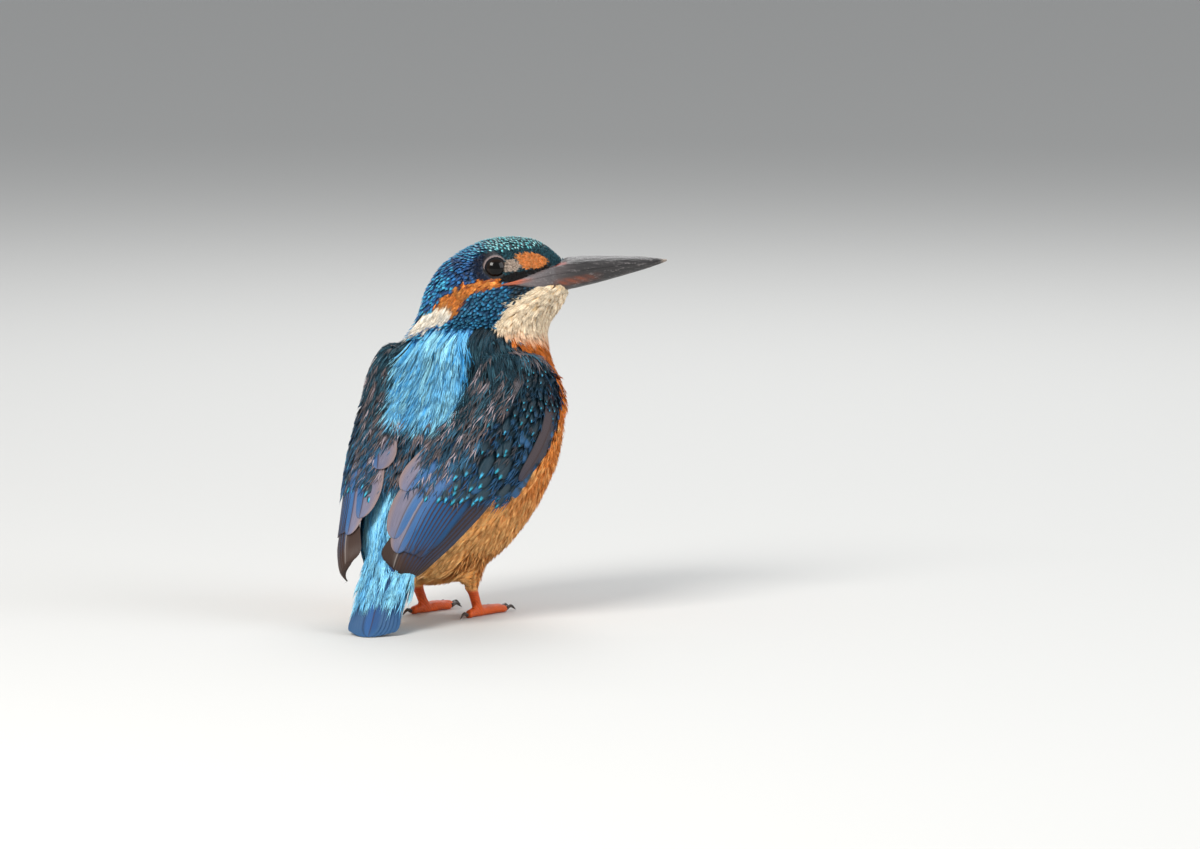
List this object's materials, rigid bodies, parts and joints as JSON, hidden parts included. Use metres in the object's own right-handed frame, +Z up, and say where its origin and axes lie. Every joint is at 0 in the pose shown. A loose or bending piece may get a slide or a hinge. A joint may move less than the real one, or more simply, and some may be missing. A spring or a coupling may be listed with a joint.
{
  "type": "common kingfisher",
  "caption": "Life-size still model of a kingfisher standing with closed wings, its long pointed bill turned to its right and its short tail resting on the floor.",
  "frame": {"origin": "middle of the bird's box, on the floor it stands on", "axes": "+X the way the body faces, +Y its left side, +Z up; the head is turned towards -Y"},
  "size_m": [0.0916, 0.0718, 0.0975],
  "materials": {
    "plumage_teal": "dark teal barred and spotted feathers",
    "plumage_blue": "bright azure silky feathers",
    "plumage_orange": "soft orange-chestnut feathers",
    "wing_quills": "slate-blue and brown flight feathers",
    "bill_horn": "dark horn with fine worn lines",
    "foot_skin": "orange-red scaled skin",
    "claw_horn": "dark polished horn",
    "eye": "wet, glossy, almost black"
  },
  "bodies": {
    "root": {"head": "plumage_teal", "neck": "plumage_blue", "trunk": "plumage_orange", "rump": "plumage_blue", "tail": "plumage_blue", "bill_upper": "bill_horn", "bill_lower": "bill_horn", "eye_left": "eye", "thigh_left": "plumage_orange", "foot_left": "foot_skin", "claw_left_inner": "claw_horn", "claw_left_middle": "claw_horn", "claw_left_outer": "claw_horn", "claw_left_hind": "claw_horn", "wing_left_coverts": "plumage_teal", "wing_left_secondaries": "wing_quills", "wing_left_primaries": "wing_quills", "eye_right": "eye", "thigh_right": "plumage_orange", "foot_right": "foot_skin", "claw_right_inner": "claw_horn", "claw_right_middle": "claw_horn", "claw_right_outer": "claw_horn", "claw_right_hind": "claw_horn", "wing_right_coverts": "plumage_teal", "wing_right_secondaries": "wing_quills", "wing_right_primaries": "wing_quills"}
  },
  "joints": []
}
